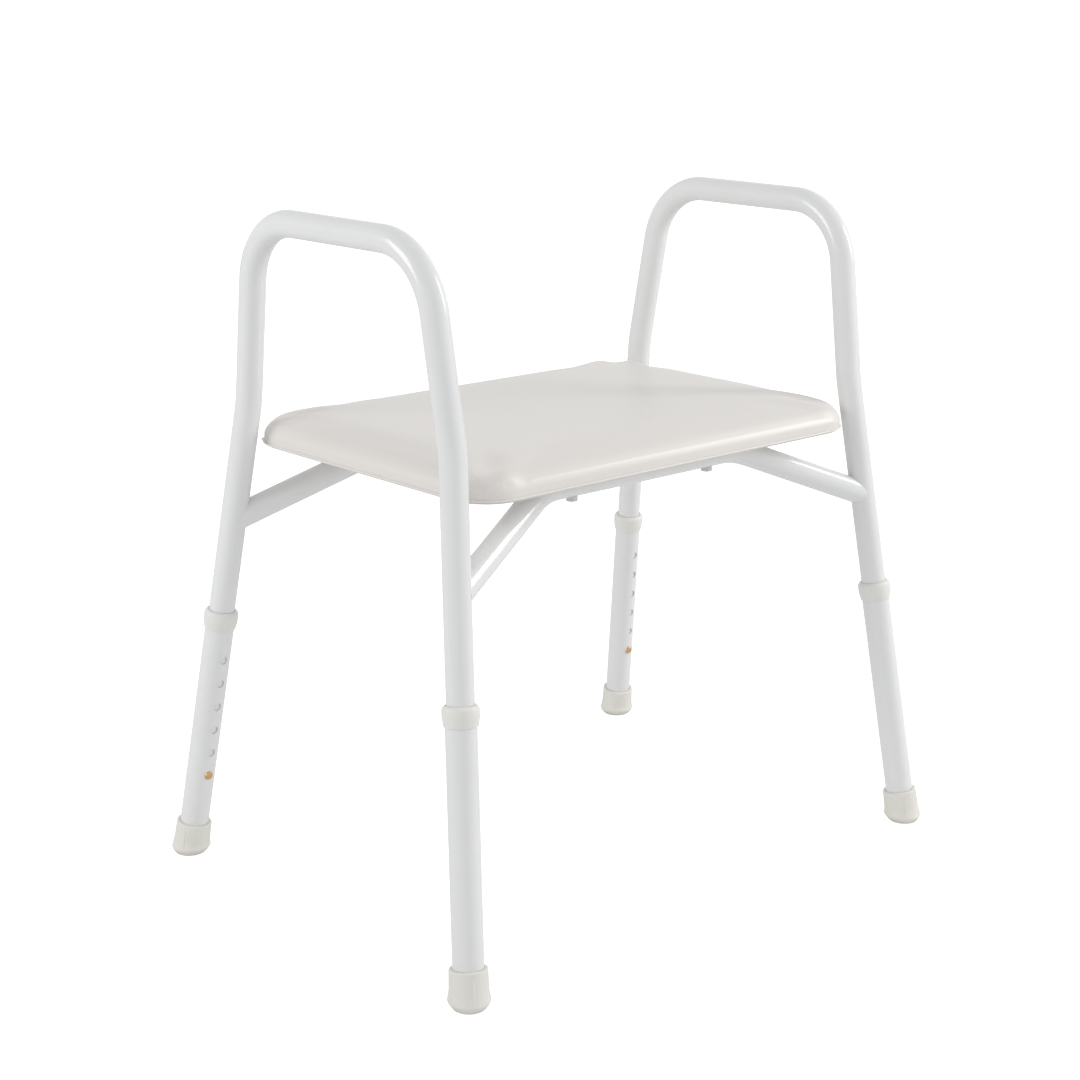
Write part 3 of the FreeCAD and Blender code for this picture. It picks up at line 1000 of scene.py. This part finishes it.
def makeCollar(corner):
    leg = legs[corner]
    low, high, inner = legReach(corner, "collar")[:3]
    tubeTop, tubeRadius = legReach(corner, "lower_tube")[1::2]
    height = high - low

    def place(h):
        return leg["foot"] + leg["up"] * h, leg["inward"], leg["side"]

    section = [
        (tubeRadius + 0.02 * mm, low, 0.1 * mm),
        (collar["bottomRadius"] - 0.1 * mm, low, 0.5 * mm),
        (collar["bottomRadius"], low + 1.3 * mm, 0.4 * mm),
        (collar["bottomRadius"] + 0.1 * mm, low + 1.7 * mm, 0.2 * mm),
        (collar["wideRadius"], low + height * collar["wideAt"], 2.2 * mm),
        (collar["wideRadius"] - 0.1 * mm, low + height * collar["shoulderAt"], 1.3 * mm),
        (inner + collar["mouthWall"], high, 1.0 * mm),
        (inner, high - 0.05 * mm, 0),
        (inner, tubeTop + 0.02 * mm, 0),
        (tubeRadius + 0.02 * mm, tubeTop + 0.02 * mm, 0),
    ]
    points = fillSection(softSection(section), 1.5 * mm)

    def shape(r, h, turn):
        # a faint parting line on each side of the moulding
        if r < collar["bottomRadius"]:
            return r
        line = math.exp(-((math.sin(turn) * r / (0.35 * mm)) ** 2))
        return r + 0.1 * mm * line

    bm = turnedMesh(points, 180, place, shape)
    piece = newPiece(corner + "_bushCollar", bm, collarMaterial)
    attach(piece, corner + "_leg")
    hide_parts(corner + "_collar")
    return piece


button = {"dome": 0.9 * mm, "edge": 0.5 * mm}


def makeButton(corner):
    leg = legs[corner]
    cad = [v.co for v in nodes[corner + "_snap_button"].data.vertices]
    low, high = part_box(corner + "_snap_button")
    middle = (low + high) / 2
    height = (middle - leg["foot"]).dot(leg["up"])
    centre = leg["foot"] + leg["up"] * height
    reach = [(p - centre).dot(leg["inward"]) for p in cad]
    tip, back = max(reach), min(reach)
    size = [((p - centre) - leg["inward"] * (p - centre).dot(leg["inward"])).length for p in cad]
    flangeRadius = max(size)
    pinRadius = max(s for s, r in zip(size, reach) if r > back + (tip - back) * 0.4)

    def place(h):
        return centre + leg["inward"] * h, leg["up"], leg["inward"].cross(leg["up"])

    section = [(0.05 * mm, back, 0), (flangeRadius, back, 0.2 * mm)]
    section += [(flangeRadius, back + 1 * mm, 0.2 * mm), (pinRadius, back + 1 * mm, 0.1 * mm)]
    section += [(pinRadius, tip - 1.5 * mm, 0.5 * mm), (pinRadius * 0.84, tip - 0.45 * mm, 0.9 * mm)]
    section += [(pinRadius * 0.4, tip, 1 * mm), (0.05 * mm, tip, 0)]
    points = fillSection(softSection(section, 6, closed=False), 0.5 * mm, closed=False)
    bm = turnedMesh(points, 64, place, closed=False)
    piece = newPiece(corner + "_brassButton", bm, brassMaterial)
    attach(piece, corner + "_button")
    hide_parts(corner + "_snap_button")
    return piece


for corner in corners:
    makeFoot(corner)
    makeCollar(corner)
    makeButton(corner)
print("feet, collars and buttons made")


studio = {
    "floorColour": (0.7, 0.7, 0.7),
    "floorGlow": (0.7, 0.08),   # seen by the camera, and as light on the stool
    "horizon": 1.0,
    "zenith": 0.62,
    "rightLift": 0.2,
    "rightWay": (0.74, -0.67),
    "keyPower": 17,
    "keyWay": (-0.83, 0.37, 0.32),
    "sidePower": 20,
    "sideWay": (0.7, -0.5, 0.42),
    "softboxReach": 2.6,
}


def mixNumber(tree, factor, low, high):
    return math2(tree, "ADD", math2(tree, "MULTIPLY", factor, high - low), low)


def makeFloor():
    bm = bmesh.new()
    bmesh.ops.create_grid(bm, x_segments=1, y_segments=1, size=30)
    material, tree, shader = newMaterial("studioFloor", Roughness=0.85)
    skin = useGroup(tree, skinGroup, **{"Ripple Scale": 5, "Cloud Scale": 0.7})
    colour = studio["floorColour"]
    paler = tuple(min(1, c * 1.01) for c in colour)
    tree.links.new(mixColours(tree, skin["Cloud"], colour, paler), shader.inputs["Base Color"])
    seen = addNode(tree, "ShaderNodeLightPath").outputs["Is Camera Ray"]
    glow, fill = studio["floorGlow"]
    shader.inputs["Emission Color"].default_value = (1, 1, 1, 1)
    tree.links.new(mixNumber(tree, seen, fill, glow), shader.inputs["Emission Strength"])
    floor = newPiece("studioFloor", bm, material)


def aimAt(obj, place, target):
    obj.location = place
    obj.rotation_mode = "QUATERNION"
    obj.rotation_quaternion = (Vector(target) - Vector(place)).to_track_quat("-Z", "Y")


def addSoftbox(name, place, target, size, power, tint=(1, 1, 1), tall=None):
    data = bpy.data.lights.new(name, "AREA")
    data.shape = "RECTANGLE"
    data.size = size
    data.size_y = tall or size
    data.energy = power
    data.color = tint
    obj = bpy.data.objects.new(name, data)
    bpy.context.scene.collection.objects.link(obj)
    aimAt(obj, place, target)


def makeLight():
    world = bpy.data.worlds.new("studioWorld")
    world.use_nodes = True
    tree = world.node_tree
    background = tree.nodes["Background"]
    background.inputs["Color"].default_value = (1, 1, 1, 1)
    way = addNode(tree, "ShaderNodeSeparateXYZ")
    tree.links.new(tree.nodes.new("ShaderNodeTexCoord").outputs["Generated"], way.inputs[0])
    upward = math2(tree, "POWER", math2(tree, "ABSOLUTE", way.outputs["Z"]), 0.8)
    level = mixNumber(tree, upward, studio["horizon"], studio["zenith"])
    rightX, rightY = studio["rightWay"]
    right = math2(tree, "MULTIPLY", way.outputs["X"], rightX)
    right = math2(tree, "ADD", right, math2(tree, "MULTIPLY", way.outputs["Y"], rightY))
    level = math2(tree, "ADD", level, math2(tree, "MULTIPLY", right, studio["rightLift"]))
    seen = addNode(tree, "ShaderNodeLightPath").outputs["Is Camera Ray"]
    tree.links.new(math2(tree, "MAXIMUM", level, seen), background.inputs["Strength"])
    bpy.context.scene.world = world
    middle = Vector((0, 0, 0.4))
    left = middle + Vector(studio["keyWay"]).normalized() * studio["softboxReach"]
    side = middle + Vector(studio["sideWay"]).normalized() * studio["softboxReach"]
    addSoftbox("leftSoftbox", left, middle, 1.0, studio["keyPower"])
    addSoftbox("rightSoftbox", side, middle, 0.5, studio["sidePower"], tall=1.2)


camera = {
    "place": (-1.3434, -1.4421, 0.8711),
    "around": -43.831,
    "down": 15.023,
    "roll": 0.769,
    "lens": 66.999,
    "shift": (-0.0439, -0.0167),
}


def makeCamera():
    around, down, roll = (math.radians(camera[k]) for k in ("around", "down", "roll"))
    flat = math.cos(down)
    back = Vector((math.sin(around) * flat, -math.cos(around) * flat, math.sin(down)))
    level = back.cross(Vector((0, 0, 1))).normalized() * -1
    rise = back.cross(level)
    right = level * math.cos(roll) + rise * math.sin(roll)
    up = rise * math.cos(roll) - level * math.sin(roll)
    data = bpy.data.cameras.new("studioCamera")
    data.lens = camera["lens"]
    data.sensor_width = 36
    data.shift_x, data.shift_y = camera["shift"]
    data.clip_start, data.clip_end = 0.05, 100
    obj = bpy.data.objects.new("studioCamera", data)
    turned = Matrix((right, up, back)).transposed().to_4x4()
    obj.matrix_world = Matrix.Translation(camera["place"]) @ turned
    bpy.context.scene.collection.objects.link(obj)
    bpy.context.scene.camera = obj


makeFloor()
makeLight()
makeCamera()
bpy.context.scene.view_settings.view_transform = "Standard"
print("studio made")
